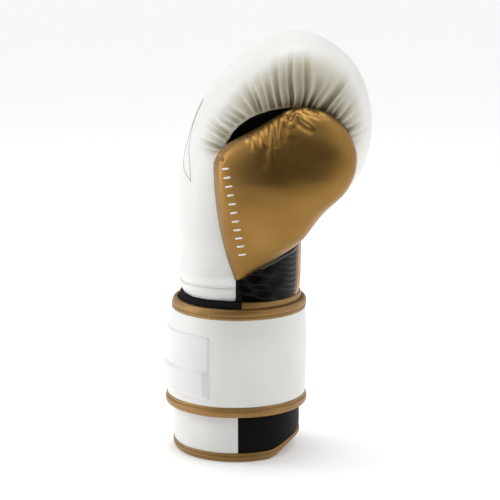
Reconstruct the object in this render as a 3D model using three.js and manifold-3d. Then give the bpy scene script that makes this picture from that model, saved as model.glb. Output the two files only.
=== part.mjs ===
// A laced-free training glove for boxing: padded fist and thumb over a wrapped wrist strap.
// It stands upright on the rim of its cuff. Millimetres, +Z up.
// +X is the palm side, -X the back of the hand, -Y the thumb side and +Y the little-finger side.

import * as THREE from 'three';
import Module from 'manifold-3d';
import { LoftGeometry } from 'three/addons/geometries/LoftGeometry.js';
import { mergeVertices } from 'three/addons/utils/BufferGeometryUtils.js';

const wasm = await Module();
wasm.setup();

// ---------------------------------------------------------------- driving dimensions

const leather = 1.6;
const lining = 1.2;
const gap = 0.4;                    // between any two pieces
const clothOverCavity = lining + gap;
const skinDepth = leather + gap;    // how deep the foam starts under the leather
const densePad = 14;                // outer, denser layer of the fist padding

const cuffBottom = 0;
const bindingHeight = 6;
const strapBottom = 33;
const strapTop = 108;
const wristTop = 112;               // top of what the strap closes over
const handBottom = wristTop + 0.8;
const collarTop = 122;              // top of the narrow band at the foot of the hand shell
const lipHeight = 188;              // the palm's leather and mesh end under the lip of the fist
const fistFloor = 197;              // the padding of the fist starts here

// The wrist at each height: half its depth (X), half its width (Y), and its lean to the palm.
const wristStations = [
  { z: 0, halfDepth: 43, halfWidth: 53, lean: 0 },
  { z: 8, halfDepth: 45, halfWidth: 55.5, lean: 0 },
  { z: 28, halfDepth: 45, halfWidth: 55.5, lean: 0 },
  { z: 38, halfDepth: 43.2, halfWidth: 54, lean: 0 },
  { z: 85, halfDepth: 43, halfWidth: 53, lean: 0.5 },
  { z: 104, halfDepth: 41, halfWidth: 51.5, lean: 2 },
  { z: 112.5, halfDepth: 40, halfWidth: 51, lean: 3 },
];

// Sections of the padded hand, from the wrist over the knuckles to the lip of the fist.
// Each joins a point on the back outline to one on the palm outline, as [x, z].
const handStations = [
  { back: [-36.5, 112.8], palm: [45, 112.8], halfWidth: 50, middle: 0 },
  { back: [-40.6, 124], palm: [46, 125], halfWidth: 53, middle: 0 },
  { back: [-40.6, 170], palm: [46.5, 160], halfWidth: 58, middle: 1 },
  { back: [-36, 209], palm: [49, 176], halfWidth: 62, middle: 1 },
  { back: [-22, 249], palm: [52, 183], halfWidth: 64.5, middle: 1 },
  { back: [6, 280], palm: [54, 186], halfWidth: 65.5, middle: 1 },
  { back: [45, 295], palm: [56, 187], halfWidth: 65.5, middle: 1 },
  { back: [81, 275], palm: [57, 187], halfWidth: 65, middle: 1 },
  { back: [95, 236], palm: [58, 186], halfWidth: 62.5, middle: 1 },
  { back: [88, 201], palm: [59, 185], halfWidth: 58, middle: 1 },
  { back: [75, 185.5], palm: [61, 182], halfWidth: 50, middle: 1 },
];

// Sections of the hollow for the hand, hooked over the grip bar.
const cavityStations = [
  { back: [-33, -4], palm: [34, -4], halfWidth: 42, middle: 0 },
  { back: [-31, 60], palm: [32, 60], halfWidth: 41, middle: 0 },
  { back: [-28, 125], palm: [31, 125], halfWidth: 41, middle: 0 },
  { back: [-26, 178], palm: [33, 172], halfWidth: 42, middle: 1 },
  { back: [-12, 217], palm: [36, 194], halfWidth: 42, middle: 1 },
  { back: [12, 236], palm: [41, 204], halfWidth: 42, middle: 1 },
  { back: [39, 241], palm: [47, 207], halfWidth: 42, middle: 1 },
  { back: [61, 232], palm: [53, 204], halfWidth: 41, middle: 1 },
  { back: [71, 213], palm: [57, 200], halfWidth: 38, middle: 1 },
  { back: [73, 194], palm: [62, 194], halfWidth: 32, middle: 1 },
];

// Sections of the thumb, from its root at the wrist to the tip tucked into the fist.
const thumbStations = [
  { back: [-1, 129], palm: [8, 131], halfWidth: 10, middle: -47 },
  { back: [-5, 142], palm: [29, 144], halfWidth: 15, middle: -51 },
  { back: [-9, 157], palm: [46, 157], halfWidth: 19, middle: -55 },
  { back: [-12.5, 175], palm: [60, 177], halfWidth: 22, middle: -59 },
  { back: [-14.5, 196], palm: [75, 194], halfWidth: 23.5, middle: -61 },
  { back: [-13.5, 212], palm: [80.5, 212], halfWidth: 23.5, middle: -61.5 },
  { back: [-5, 221], palm: [76, 231], halfWidth: 21, middle: -60 },
  { back: [13, 230], palm: [63, 243], halfWidth: 16, middle: -58 },
  { back: [31, 240], palm: [50, 246], halfWidth: 9, middle: -56 },
];

// Sections of the hollow for the thumb itself.
const thumbCavityStations = [
  { back: [2, 148], palm: [30, 148], halfWidth: 10, middle: -50 },
  { back: [4, 165], palm: [39, 163], halfWidth: 13, middle: -55 },
  { back: [9, 187], palm: [47, 183], halfWidth: 14, middle: -59 },
  { back: [18, 208], palm: [53, 203], halfWidth: 13, middle: -60 },
  { back: [30, 220], palm: [50, 217], halfWidth: 9, middle: -60 },
];

// The fist's side mouth, an ellipse seen from the thumb side, where the thumb tucks in.
const mouth = { x: 38, z: 205, halfLength: 48, halfHeight: 43, innerFace: -38 };

const frontSeam = 45;               // where the pads over the knuckles meet those in front
const gripBar = { x: 46.5, z: 195.5, radius: 6, length: 56 };
// The thumb swings on the seam along its back edge; opens is in degrees.
const thumbHinge = { at: [-15, -62, 196], axis: [10, 9, -54], opens: 10 };
const thumbSeam = -66;              // where the thumb's two leathers meet
const thumbPassage = { x: 19, y: -44, z: 163, radius: 11, length: 26 };

// Where the palm's leather and mesh meet the white shell.
const palmEdge = { thumbSide: 0, littleFingerSide: 24, meshEdge: -24 };

// The strap's stations round the wrist, in degrees: 0 is the palm, 90 the thumb side,
// 180 the back of the hand and 270 the little-finger side.
const strapAnchor = 285;
const strapHinges = [315, 60, 150];
const strapEnd = 235;
const stepAngle = 12;               // a facet every so many degrees round the wrist
const seamAngle = 88;               // where white cuff leather meets the black mesh
const meshFar = 340;
const badge = { to: 196, bottom: 40, top: 88, height: 1.8 };

// Layers over the cuff, as distances outside its leather.
const layer = {
  underlap: { inner: gap, outer: 2 },
  hook: { inner: 2.3, outer: 3.1 },
  strapLining: { inner: 3.5, outer: 4.1 },
  strapFace: { inner: 4.5, outer: 6.3 },
  strapBinding: { inner: 3.4, outer: 6.7 },
};

// The middle of the glove's plan, from the middle of its wrist.
const planMiddle = { x: 21.5, y: -9.7 };

// ---------------------------------------------------------------- materials

const finish = {
  whiteLeather: { color: 0xf0f1ed, roughness: 0.42, metalness: 0 },
  goldLeather: { color: 0x9e7e4e, roughness: 0.34, metalness: 0.45 },
  goldBinding: { color: 0xaf8c5f, roughness: 0.45, metalness: 0.3 },
  blackFabric: { color: 0x161617, roughness: 0.85, metalness: 0 },
  blackMesh: { color: 0x1b1b1d, roughness: 0.7, metalness: 0 },
  foam: { color: 0xd8d4c6, roughness: 0.95, metalness: 0 },
  denseFoam: { color: 0xb9b6ae, roughness: 0.9, metalness: 0 },
  hookTape: { color: 0x202022, roughness: 0.95, metalness: 0 },
  whiteRubber: { color: 0xf4f4f1, roughness: 0.35, metalness: 0 },
};

const glove = new THREE.Group();
glove.position.set(-planMiddle.x, -planMiddle.y, 0);

function addPiece(name, geometry, look) {
  const mesh = new THREE.Mesh(geometry, new THREE.MeshStandardMaterial(finish[look]));
  mesh.name = name;
  glove.add(mesh);
}

// ---------------------------------------------------------------- solids

function toSolid(geometry) {
  geometry.deleteAttribute('normal');
  geometry.deleteAttribute('uv');
  const merged = mergeVertices(geometry, 1e-4);
  return new wasm.Manifold(new wasm.Mesh({
    numProp: 3,
    vertProperties: new Float32Array(merged.attributes.position.array),
    triVerts: new Uint32Array(merged.index.array),
  }));
}

// The largest body of a solid: a cut can leave crumbs beside it.
function toGeometry(solid) {
  const bodies = solid.decompose();
  bodies.sort((a, b) => b.volume() - a.volume());
  const mesh = bodies[0].getMesh();
  const geometry = new THREE.BufferGeometry();
  geometry.setAttribute('position', new THREE.Float32BufferAttribute(mesh.vertProperties, 3));
  geometry.setIndex(Array.from(mesh.triVerts));
  return geometry;
}

function middleOf(points) {
  return points.reduce((sum, p) => sum.add(p), new THREE.Vector3()).divideScalar(points.length);
}

// A loft whose sections run the way that turns its faces outwards.
function loft(sections, isCapped) {
  const [first, second] = sections;
  const onward = middleOf(second).sub(middleOf(first));
  const turn = new THREE.Vector3();
  first.forEach((p, i) => turn.add(p.clone().cross(first[(i + 1) % first.length])));
  if (turn.dot(onward) < 0) {
    sections = sections.map((section) => section.slice().reverse());
  }
  return new LoftGeometry(sections, { capStart: isCapped, capEnd: isCapped });
}

function block(x, y, z) {
  const geometry = new THREE.BoxGeometry(x[1] - x[0], y[1] - y[0], z[1] - z[0]);
  geometry.translate((x[0] + x[1]) / 2, (y[0] + y[1]) / 2, (z[0] + z[1]) / 2);
  return toSolid(geometry);
}

const far = 150;
const top = 400;
const allX = [-far, far];
const allY = [-far, far];

// ---------------------------------------------------------------- padded forms

// A closed solid through stations, drawn in by inset (or let out, if negative).
// The foot is carried down by drop, so that an inner form stays open below an outer one.
// A turn, where one is given, is made last.
function padded(stations, { inset = 0, drop = 0, steps = 18, sides = 18, turn = null } = {}) {
  const squareness = 2.35;
  const backCurve = new THREE.SplineCurve(stations.map((s) => new THREE.Vector2(...s.back)));
  const palmCurve = new THREE.SplineCurve(stations.map((s) => new THREE.Vector2(...s.palm)));
  const sideCurve = new THREE.SplineCurve(stations.map((s) => new THREE.Vector2(s.halfWidth, s.middle)));
  const thinnest = 1.2;
  const sections = [];
  for (let i = 0; i <= steps; i++) {
    const back = backCurve.getPoint(i / steps);
    const palm = palmCurve.getPoint(i / steps);
    const side = sideCurve.getPoint(i / steps);
    const middle = back.clone().add(palm).multiplyScalar(0.5);
    const across = palm.clone().sub(back);
    const halfDepth = across.length() / 2 - inset;
    const halfWidth = side.x - inset;
    if (halfDepth < thinnest || halfWidth < thinnest) continue;
    across.normalize();
    const section = [];
    for (let j = 0; j < sides; j++) {
      const angle = (2 * Math.PI * j) / sides;
      const reach = halfDepth * rounded(Math.cos(angle), squareness);
      const aside = halfWidth * rounded(Math.sin(angle), squareness);
      section.push(new THREE.Vector3(
        middle.x + across.x * reach,
        side.y + aside,
        middle.y + across.y * reach,
      ));
    }
    sections.push(section);
  }
  if (drop > 0) {
    sections.unshift(sections[0].map((p) => new THREE.Vector3(p.x, p.y, p.z - drop)));
  } else {
    drawIn(sections[0], sections[1], inset);
  }
  drawIn(sections.at(-1), sections.at(-2), inset);
  const geometry = loft(sections, true);
  if (turn) geometry.applyMatrix4(turn);
  return toSolid(geometry);
}

// Moves an end section towards its neighbour, unless the form already ends that far in.
function drawIn(section, neighbour, distance) {
  const inwards = middleOf(neighbour).sub(middleOf(section));
  if (distance > inwards.length() / 2) return;
  inwards.setLength(Math.abs(distance)).multiplyScalar(Math.sign(distance));
  section.forEach((p) => p.add(inwards));
}

// Superellipse term: 2 gives an ellipse, more gives a squarer section.
function rounded(value, squareness) {
  return Math.sign(value) * Math.abs(value) ** (2 / squareness);
}

// ---------------------------------------------------------------- the wrist

function wristAt(z) {
  const last = wristStations.length - 1;
  let i = 0;
  while (i < last - 1 && z > wristStations[i + 1].z) i++;
  const [low, high] = [wristStations[i], wristStations[i + 1]];
  const share = (z - low.z) / (high.z - low.z);
  const mix = (key) => THREE.MathUtils.lerp(low[key], high[key], share);
  return { halfDepth: mix('halfDepth'), halfWidth: mix('halfWidth'), lean: mix('lean') };
}

function wristPoint(degrees, z, outside) {
  const { halfDepth, halfWidth, lean } = wristAt(z);
  const angle = THREE.MathUtils.degToRad(degrees);
  return new THREE.Vector3(
    lean + (halfDepth + outside) * Math.cos(angle),
    -(halfWidth + outside) * Math.sin(angle),
    z,
  );
}

// Every piece round the wrist shares these heights and angles, so that layers never cross.
function wristHeights(bottom, upper) {
  const between = wristStations.map((station) => station.z).filter((z) => z > bottom && z < upper);
  return [bottom, ...between, upper];
}

function wristAngles(from, to) {
  const angles = [from];
  for (let degrees = (Math.floor(from / stepAngle) + 1) * stepAngle; degrees < to; degrees += stepAngle) {
    angles.push(degrees);
  }
  return [...angles, to];
}

// A curved slab round the wrist between two angles, or a ring where they are a full turn apart.
function wrap({ from, to, bottom, top: upper, inner, outer }) {
  const isRing = to - from === 360;
  const heights = wristHeights(bottom, upper);
  const sections = wristAngles(from, to).map((degrees) => [
    ...heights.map((z) => wristPoint(degrees % 360, z, outer)),
    ...heights.toReversed().map((z) => wristPoint(degrees % 360, z, inner)),
  ]);
  return loft(sections, !isRing);
}

// The cuff as one solid column, drawn in from its leather by inset.
function cuffColumn(inset, bottom, upper) {
  const angles = wristAngles(0, 360).slice(1);
  const sections = wristHeights(bottom, upper).map((z) => angles.map((degrees) => wristPoint(degrees, z, -inset)));
  return toSolid(loft(sections, true));
}

// ---------------------------------------------------------------- shared tools for cutting

const handSkin = padded(handStations);
const underSkin = padded(handStations, { inset: leather, drop: 20 });
const handCore = padded(handStations, { inset: skinDepth });
const underDensePad = padded(handStations, { inset: skinDepth + densePad, drop: 20 });
const softCore = padded(handStations, { inset: skinDepth + densePad + gap });
const cavity = padded(cavityStations, { drop: 10, steps: 18, sides: 14 });
const liningOutside = padded(cavityStations, { inset: -lining, steps: 18, sides: 14 });
const cavityAndCloth = padded(cavityStations, { inset: -clothOverCavity, drop: 10, steps: 18, sides: 14 });
const thumbSkin = padded(thumbStations, { steps: 11, sides: 16 });
const thumbRoom = thumbTurns(5).map((turn) => padded(thumbStations, { inset: -2 * gap, steps: 11, sides: 16, turn }))
  .reduce((room, solid) => room.add(solid));
const thumbUnderSkin = padded(thumbStations, { inset: leather, steps: 11, sides: 16 });
const thumbCore = padded(thumbStations, { inset: skinDepth, steps: 11, sides: 16 });
const thumbCavity = padded(thumbCavityStations, { steps: 6, sides: 12 });
const thumbLiningOutside = padded(thumbCavityStations, { inset: -lining, steps: 6, sides: 12 });
const thumbCavityAndCloth = padded(thumbCavityStations, { inset: -clothOverCavity, steps: 6, sides: 12 });

// The thumb's poses in equal steps from rest to fully drawn away from the fist.
function thumbTurns(count) {
  const { at, axis, opens } = thumbHinge;
  const direction = new THREE.Vector3(...axis).normalize();
  return Array.from({ length: count }, (_, i) => {
    const angle = THREE.MathUtils.degToRad((opens * i) / (count - 1));
    const turn = new THREE.Matrix4().makeRotationAxis(direction, angle);
    const back = new THREE.Vector3(...at).sub(new THREE.Vector3(...at).applyMatrix4(turn));
    return turn.setPosition(back);
  });
}

function crossBar(x, z, radiusX, radiusZ, y, sides = 32) {
  const geometry = new THREE.CylinderGeometry(1, 1, y[1] - y[0], sides);
  geometry.scale(radiusX, 1, radiusZ);
  geometry.translate(x, (y[0] + y[1]) / 2, z);
  return toSolid(geometry);
}

function mouthCut(clearance) {
  const reach = [-far, mouth.innerFace];
  return crossBar(mouth.x, mouth.z, mouth.halfLength + clearance, mouth.halfHeight + clearance, reach, 28);
}

function passageCut(clearance) {
  const { x, y, z, radius, length } = thumbPassage;
  return crossBar(x, z, radius + clearance, radius + clearance, [y - length / 2, y + length / 2], 12);
}

// The palm's two coverings, each grown by clearance.
function palmLeatherZone(clearance) {
  return block(
    [palmEdge.littleFingerSide - clearance, far],
    [palmEdge.meshEdge + gap / 2 - clearance, far],
    [0, lipHeight + clearance],
  );
}

function palmMeshZone(clearance) {
  return block(
    [palmEdge.thumbSide - clearance, far],
    [-far, palmEdge.meshEdge - gap / 2 + clearance],
    [0, lipHeight + clearance],
  );
}

// ---------------------------------------------------------------- hand coverings

function handCoverings() {
  const handLeather = handSkin.subtract(underSkin).subtract(thumbRoom).subtract(mouthCut(0));
  const white = handLeather.subtract(palmLeatherZone(gap)).subtract(palmMeshZone(gap));
  const aboveCollar = block(allX, allY, [collarTop + gap, top]);
  const belowCollar = block(allX, allY, [handBottom - 1, collarTop]);
  addPiece('outer_shell', toGeometry(white.intersect(aboveCollar)), 'whiteLeather');
  addPiece('wrist_collar', toGeometry(white.intersect(belowCollar)), 'whiteLeather');
  addPiece('palm_panel', toGeometry(handLeather.intersect(palmLeatherZone(0))), 'goldLeather');
  addPiece('palm_mesh_gusset', toGeometry(handLeather.intersect(palmMeshZone(0))), 'blackMesh');
}

// Black cloth that closes the mouth of the fist behind the thumb.
function mouthGusset() {
  const front = padded(handStations, { inset: skinDepth + densePad - leather });
  const back = padded(handStations, { inset: skinDepth + densePad, drop: 20 });
  const upperHalf = block(allX, allY, [fistFloor + gap, top]);
  const cloth = front.subtract(back).intersect(mouthCut(-gap)).intersect(upperHalf);
  addPiece('mouth_gusset', toGeometry(cloth.subtract(thumbRoom).subtract(cavityAndCloth)), 'blackFabric');
}

// ---------------------------------------------------------------- padding and lining

function handPadding() {
  const bar = crossBar(
    gripBar.x, gripBar.z, gripBar.radius + gap, gripBar.radius + gap,
    [-gripBar.length / 2 - gap, gripBar.length / 2 + gap], 16,
  );
  const hollowed = (solid) => solid.subtract(cavityAndCloth).subtract(thumbRoom)
    .subtract(passageCut(gap)).subtract(bar);
  const fistZone = block(allX, allY, [fistFloor, top]);
  const backZone = block([-far, palmEdge.littleFingerSide - gap], allY, [handBottom, fistFloor - gap]);
  const palmZone = block([palmEdge.littleFingerSide, far], allY, [handBottom, fistFloor - gap]);
  const outerFist = handCore.subtract(underDensePad).subtract(mouthCut(gap)).intersect(fistZone);
  const innerFist = softCore.intersect(fistZone);
  const knuckleZone = block([-far, frontSeam - gap / 2], allY, [0, top]);
  const frontZone = block([frontSeam + gap / 2, far], allY, [0, top]);
  addPiece('knuckle_foam', toGeometry(hollowed(outerFist.intersect(knuckleZone))), 'denseFoam');
  addPiece('fist_front_foam', toGeometry(hollowed(outerFist.intersect(frontZone))), 'denseFoam');
  addPiece('finger_foam', toGeometry(hollowed(innerFist.intersect(knuckleZone))), 'foam');
  addPiece('fingertip_foam', toGeometry(hollowed(innerFist.intersect(frontZone))), 'foam');
  addPiece('back_of_hand_foam', toGeometry(hollowed(handCore.intersect(backZone))), 'foam');
  addPiece('palm_foam', toGeometry(hollowed(handCore.intersect(palmZone))), 'foam');
}

function gripBarPiece() {
  const { x, z, radius, length } = gripBar;
  const bar = new THREE.CylinderGeometry(radius, radius, length, 16);
  bar.translate(x, 0, z);
  addPiece('grip_bar', bar, 'denseFoam');
}

function handLining() {
  const inside = block(allX, allY, [wristTop, top]);
  const cloth = liningOutside.subtract(cavity).subtract(passageCut(gap)).subtract(thumbRoom);
  addPiece('hand_lining', toGeometry(cloth.intersect(inside)), 'blackFabric');
}

// ---------------------------------------------------------------- thumb

function thumb() {
  const passage = passageCut(0);
  const skin = thumbSkin.subtract(thumbUnderSkin).subtract(passage);
  const outerHalf = block(allX, [-far, thumbSeam - gap / 2], [0, top]);
  const innerHalf = block(allX, [thumbSeam + gap / 2, far], [0, top]);
  addPiece('thumb_outer_panel', toGeometry(skin.intersect(outerHalf)), 'goldLeather');
  addPiece('thumb_inner_panel', toGeometry(skin.intersect(innerHalf)), 'goldLeather');
  addPiece('thumb_foam', toGeometry(thumbCore.subtract(thumbCavityAndCloth).subtract(passage)), 'foam');
  const cloth = thumbLiningOutside.subtract(thumbCavity).subtract(passage);
  addPiece('thumb_lining', toGeometry(cloth), 'blackFabric');
}

// ---------------------------------------------------------------- cuff

function cuff() {
  const foam = cuffColumn(skinDepth, bindingHeight + gap, wristTop).subtract(cavityAndCloth);
  addPiece('cuff_foam', toGeometry(foam), 'foam');
  const skin = { bottom: bindingHeight + gap, top: wristTop, inner: -leather, outer: 0 };
  addPiece('cuff_panel', wrap({ ...skin, from: seamAngle + 0.5, to: meshFar - 0.5 }), 'whiteLeather');
  addPiece('cuff_mesh_panel', wrap({ ...skin, from: meshFar - 360, to: seamAngle }), 'blackMesh');
  addPiece('cuff_binding', wrap({
    from: 0, to: 360, bottom: cuffBottom, top: bindingHeight, inner: -6, outer: 0.8,
  }), 'goldBinding');
  const cloth = liningOutside.subtract(cavity).intersect(block(allX, allY, [1.5, wristTop - gap]));
  addPiece('cuff_lining', toGeometry(cloth), 'blackFabric');
}

// Hook-and-loop landing on the back of the wrist, and the flap under the strap on the palm side.
function closureLayers() {
  addPiece('loop_band', wrap({
    from: seamAngle + 1, to: strapAnchor - 2, bottom: strapBottom + 3, top: wristTop, ...layer.underlap,
  }), 'blackFabric');
  const flapTop = wristTop - bindingHeight;
  addPiece('underlap_flap', wrap({
    from: -25, to: seamAngle, bottom: strapBottom + 3, top: flapTop - gap, ...layer.underlap,
  }), 'whiteLeather');
  addPiece('underlap_binding', wrap({
    from: -25, to: seamAngle, bottom: flapTop, top: wristTop, inner: gap, outer: 2.6,
  }), 'goldBinding');
}

// ---------------------------------------------------------------- strap

function strapSegment(name, from, to) {
  const halfGap = 0.3;
  const arc = { from: from + halfGap, to: to - halfGap };
  const body = { ...arc, bottom: strapBottom + bindingHeight + gap, top: strapTop - bindingHeight - gap };
  addPiece(`${name}_face`, wrap({ ...body, ...layer.strapFace }), 'whiteLeather');
  addPiece(`${name}_lining`, wrap({ ...body, ...layer.strapLining }), 'blackFabric');
  addPiece(`${name}_bottom_binding`, wrap({
    ...arc, bottom: strapBottom, top: strapBottom + bindingHeight, ...layer.strapBinding,
  }), 'goldBinding');
  addPiece(`${name}_top_binding`, wrap({
    ...arc, bottom: strapTop - bindingHeight, top: strapTop, ...layer.strapBinding,
  }), 'goldBinding');
}

function strap() {
  const [palmHinge, thumbHinge, backHinge] = strapHinges;
  strapSegment('strap_anchor', palmHinge - 360 - (palmHinge - strapAnchor), palmHinge - 360);
  strapSegment('strap_palm', palmHinge - 360, thumbHinge);
  strapSegment('strap_thumb_side', thumbHinge, backHinge);
  strapSegment('strap_end', backHinge, strapEnd);
  addPiece('hook_tape', wrap({
    from: 158, to: strapEnd - 2, bottom: 46, top: 95, ...layer.hook,
  }), 'hookTape');
}

// Plain raised badge sewn on the strap over the back of the wrist.
function badgePatch() {
  const { outer } = layer.strapFace;
  addPiece('badge_patch', wrap({
    from: strapHinges[2] + 1, to: badge.to, bottom: badge.bottom, top: badge.top,
    inner: outer + gap, outer: outer + gap + badge.height,
  }), 'whiteRubber');
}

handCoverings();
mouthGusset();
handPadding();
gripBarPiece();
handLining();
thumb();
cuff();
closureLayers();
strap();
badgePatch();

export default glove;
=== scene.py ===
import math
from collections import namedtuple

import bmesh
import bpy
import numpy as np
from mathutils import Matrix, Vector


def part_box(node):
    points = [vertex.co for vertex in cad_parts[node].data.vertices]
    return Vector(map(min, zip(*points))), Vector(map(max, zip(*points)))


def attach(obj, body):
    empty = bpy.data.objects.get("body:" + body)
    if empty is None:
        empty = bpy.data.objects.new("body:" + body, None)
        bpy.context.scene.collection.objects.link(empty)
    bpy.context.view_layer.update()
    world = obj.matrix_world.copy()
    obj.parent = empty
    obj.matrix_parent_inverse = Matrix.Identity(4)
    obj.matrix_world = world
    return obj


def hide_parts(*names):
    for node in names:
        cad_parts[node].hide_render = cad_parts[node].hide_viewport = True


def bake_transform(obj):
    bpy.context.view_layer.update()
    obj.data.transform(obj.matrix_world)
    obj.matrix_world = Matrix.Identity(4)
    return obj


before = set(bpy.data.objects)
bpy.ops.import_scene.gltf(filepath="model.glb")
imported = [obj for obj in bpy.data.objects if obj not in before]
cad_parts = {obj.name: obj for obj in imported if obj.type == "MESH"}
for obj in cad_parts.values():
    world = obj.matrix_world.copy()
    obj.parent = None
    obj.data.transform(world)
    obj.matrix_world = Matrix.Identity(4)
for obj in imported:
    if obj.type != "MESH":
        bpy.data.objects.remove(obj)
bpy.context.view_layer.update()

# ------------------------------------------------------------------ the glove's forms, in millimetres
# x runs from the middle of the wrist to the palm, -y to the thumb side and z up from the cuff's rim.

MM = 0.001
rim_low, rim_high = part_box("cuff_binding")
WRIST_MIDDLE = np.array([(rim_low[0] + rim_high[0]) / 2, (rim_low[1] + rim_high[1]) / 2, 0.0])

STRAP_BOTTOM = 33.0
STRAP_TOP = 108.0
WRIST_TOP = 112.0
COLLAR_TOP = 122.0
LIP_HEIGHT = 188.0
SQUARENESS = 2.35

# (z, half depth, half width, lean to the palm)
WRIST_STATIONS = [
    (0, 43, 53, 0), (8, 45, 55.5, 0), (28, 45, 55.5, 0), (38, 43.2, 54, 0),
    (85, 43, 53, 0.5), (104, 41, 51.5, 2), (112.5, 40, 51, 3),
]

# (back x, back z, palm x, palm z, half width, middle y)
HAND_STATIONS = [
    (-36.5, 112.8, 45, 112.8, 50, 0), (-40.6, 124, 46, 125, 53, 0), (-40.6, 170, 46.5, 160, 58, 1),
    (-36, 209, 49, 176, 62, 1), (-22, 249, 52, 183, 64.5, 1), (6, 280, 54, 186, 65.5, 1),
    (45, 295, 56, 187, 65.5, 1), (81, 275, 57, 187, 65, 1), (95, 236, 58, 186, 62, 1),
    (88, 201, 59, 185, 54, 1), (75, 185.5, 61, 182, 43, 1),
]
CAVITY_STATIONS = [
    (-33, -4, 34, -4, 42, 0), (-31, 60, 32, 60, 41, 0), (-28, 125, 31, 125, 41, 0),
    (-26, 178, 33, 172, 42, 1), (-12, 217, 36, 194, 42, 1), (12, 236, 41, 204, 42, 1),
    (39, 241, 47, 207, 42, 1), (61, 232, 53, 204, 41, 1), (71, 213, 57, 200, 38, 1),
    (73, 194, 62, 194, 32, 1),
]
THUMB_STATIONS = [
    (-1, 129, 8, 131, 10, -47), (-5, 142, 29, 144, 15.5, -51.5), (-9, 157, 46, 157, 20, -56),
    (-12.5, 175, 60, 177, 23, -59.5), (-14.5, 196, 75, 194, 23, -60.6), (-13.5, 212, 80.5, 212, 21.2, -59.3),
    (-5.5, 222, 76, 231, 18.5, -57.5), (13, 232, 63, 243, 14, -56), (30, 241.5, 50, 246, 8.5, -55.5),
]

# The side mouth of the fist, a squared ellipse seen from the thumb side and cut short below.
MOUTH = {
    "x": 35.0, "z": 204.5, "to_back": 49.5, "to_front": 42.0,
    "to_crown": 43.0, "to_palm": 15.5, "power": 2.15,
}

# Where the gold palm and the mesh beside it end, below the lip of the fist.
MESH_BACK = 0.0
PALM_BACK = 24.0
PALM_FRONT = 64.0
PALM_SIDE = -24.0


def to_frame(points):
    """Glove millimetres to metres in the shared frame."""
    return np.asarray(points, float) * MM + WRIST_MIDDLE


def spline(knots, t):
    """The Catmull-Rom curve through knots at shares t of its length in knots."""
    knots = np.asarray(knots, float)
    last = len(knots) - 1
    place = np.clip(np.asarray(t, float), 0, 1) * last
    i = np.minimum(place.astype(int), last - 1)
    w = (place - i)[..., None]
    before, start = knots[np.maximum(i - 1, 0)], knots[i]
    end, after = knots[i + 1], knots[np.minimum(i + 2, last)]
    leaving, arriving = (end - before) / 2, (after - start) / 2
    cubic = 2 * start - 2 * end + leaving + arriving
    square = -3 * start + 3 * end - 2 * leaving - arriving
    return cubic * w**3 + square * w**2 + leaving * w + start


def form(stations, t, angle, inset=0.0):
    """Points on a padded form: angle 0 is its palm edge, pi its back edge and -pi/2 its thumb side."""
    back_x, back_z, palm_x, palm_z, half_width, middle = np.moveaxis(spline(stations, t), -1, 0)
    half_x, half_z = (palm_x - back_x) / 2, (palm_z - back_z) / 2
    half_depth = np.hypot(half_x, half_z)
    keep = (half_depth - inset) / half_depth
    cos, sin = np.cos(angle), np.sin(angle)
    reach = np.sign(cos) * np.abs(cos) ** (2 / SQUARENESS) * keep
    aside = np.sign(sin) * np.abs(sin) ** (2 / SQUARENESS) * (half_width - inset)
    x = (palm_x + back_x) / 2 + half_x * reach
    z = (palm_z + back_z) / 2 + half_z * reach
    return np.stack([x, middle + aside, z], axis=-1)


def form_normals(stations, t, angle):
    """Outward normals of a form, by differences."""
    step = 0.004
    along = form(stations, np.minimum(t + step, 1), angle) - form(stations, np.maximum(t - step, 0), angle)
    around = form(stations, t, angle + step) - form(stations, t, angle - step)
    normals = np.cross(around, along)
    return normals / np.maximum(np.linalg.norm(normals, axis=-1, keepdims=True), 1e-9)


def wrist(degrees, z, outside):
    """Points round the wrist: 0 degrees is the palm, 90 the thumb side and 180 the back of the hand."""
    z = np.asarray(z, float)
    table = np.asarray(WRIST_STATIONS, float)
    spread = np.array([-4.0, -2.0, 0.0, 2.0, 4.0])
    heights = np.clip(z[..., None] + spread, 0, 112.5)
    half_depth, half_width, lean = (np.interp(heights, table[:, 0], table[:, k]).mean(-1) for k in (1, 2, 3))
    angle = np.radians(degrees)
    x = lean + (half_depth + outside) * np.cos(angle)
    y = -(half_width + outside) * np.sin(angle)
    return scooped(np.stack(np.broadcast_arrays(x, y, z), axis=-1))


def scooped(points):
    """Raises the foot of the cuff on the palm side, where its rim is hollowed for the wrist."""
    scoop = 9
    x, y, z = points[..., 0], points[..., 1], points[..., 2]
    towards_palm = x / np.maximum(np.hypot(x, y * 0.8), 1e-6)
    lift = scoop * smoothstep(0.5, 1, towards_palm) * np.clip(1 - z / STRAP_BOTTOM, 0, 1) ** 1.5
    return np.stack([x, y, z + lift], axis=-1)


def smoothstep(low, high, value):
    """0 to 1, smoothly, as value goes from low to high. High may be the lower one."""
    share = np.clip((value - low) / (high - low), 0, 1)
    return share * share * (3 - 2 * share)


class Waves:
    """Smooth seeded unevenness: a sum of sine waves in random directions."""

    def __init__(self, seed, wavelength, height=1.0, count=9):
        chance = np.random.default_rng(seed)
        directions = chance.normal(size=(count, 3))
        directions /= np.linalg.norm(directions, axis=1, keepdims=True)
        lengths = wavelength * chance.uniform(0.6, 1.6, count)
        self.waves = directions * (2 * np.pi / lengths)[:, None]
        self.phases = chance.uniform(0, 2 * np.pi, count)
        self.height = height

    def __call__(self, points):
        return self.height * (np.sin(points @ self.waves.T + self.phases).mean(-1) * 1.6)


# ------------------------------------------------------------------ meshes

def new_object(name, points, faces, material, smooth=True):
    """A mesh object from millimetre points."""
    mesh = bpy.data.meshes.new(name)
    mesh.from_pydata(to_frame(points).tolist(), [], faces)
    mesh.validate()
    mesh.polygons.foreach_set("use_smooth", [smooth] * len(mesh.polygons))
    piece = bpy.data.objects.new(name, mesh)
    bpy.context.scene.collection.objects.link(piece)
    piece.data.materials.append(material)
    return piece


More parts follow.
